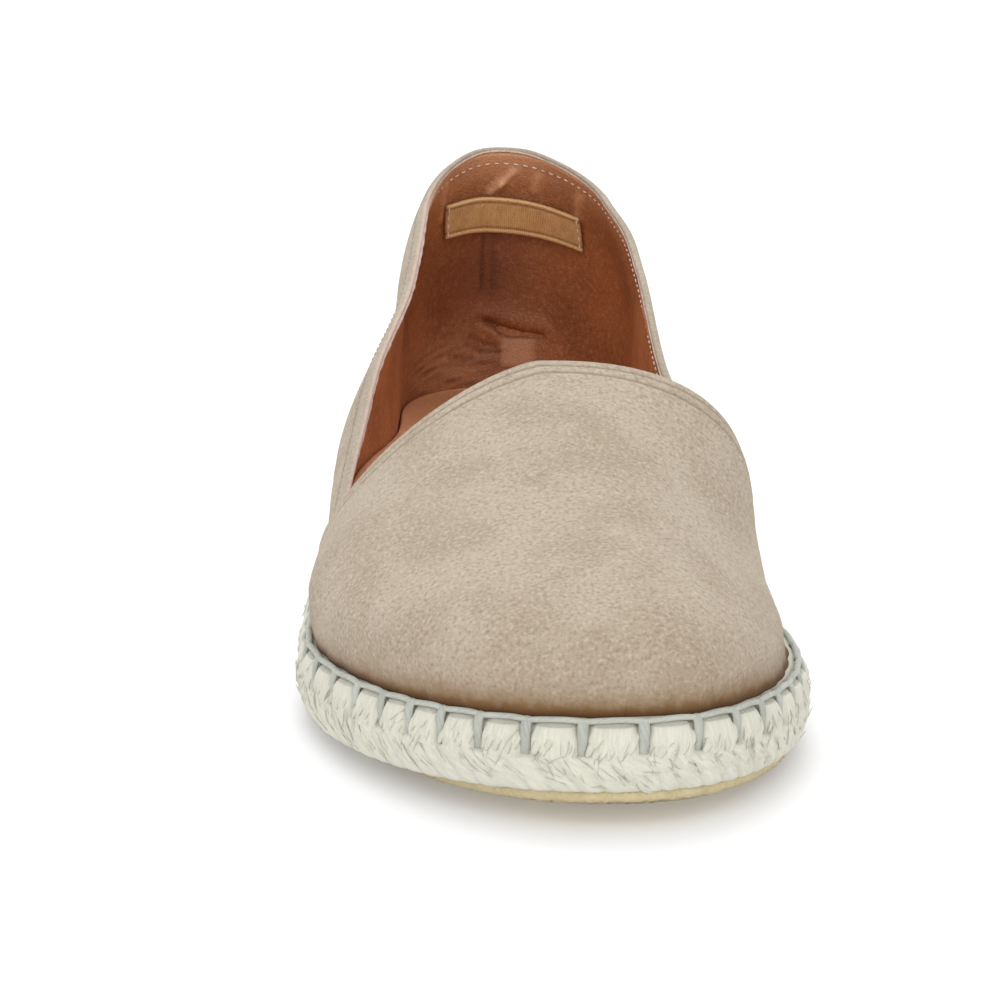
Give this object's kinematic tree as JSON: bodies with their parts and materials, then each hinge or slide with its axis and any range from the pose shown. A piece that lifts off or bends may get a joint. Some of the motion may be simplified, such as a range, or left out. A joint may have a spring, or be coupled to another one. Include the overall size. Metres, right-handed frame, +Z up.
{
  "type": "espadrille",
  "caption": "Slip-on espadrille for the right foot: hollow suede upper open at the collar, on a rope midsole with a thin crepe outsole, with an insole and a pull tape in the heel.",
  "frame": {"origin": "centre of the bounding box in X and Y, on the floor under the sole", "axes": "+Z up, +Y towards the heel, -Y towards the toe, -X to the lateral (outer) side and +X to the medial (inner) side of a right foot"},
  "size_m": [0.0944, 0.256, 0.0767],
  "materials": {
    "outsole": "matt natural crepe rubber",
    "jute_sole": "pale braided plant fibre, matt",
    "insole": "smooth brown leather, soft sheen",
    "upper": "sand suede outside, brown leather lining inside",
    "heel_tape": "ochre woven tape"
  },
  "bodies": {
    "root": {"outsole": "outsole", "jute_sole": "jute_sole", "insole": "insole", "upper": "upper", "heel_tape": "heel_tape"}
  },
  "joints": []
}
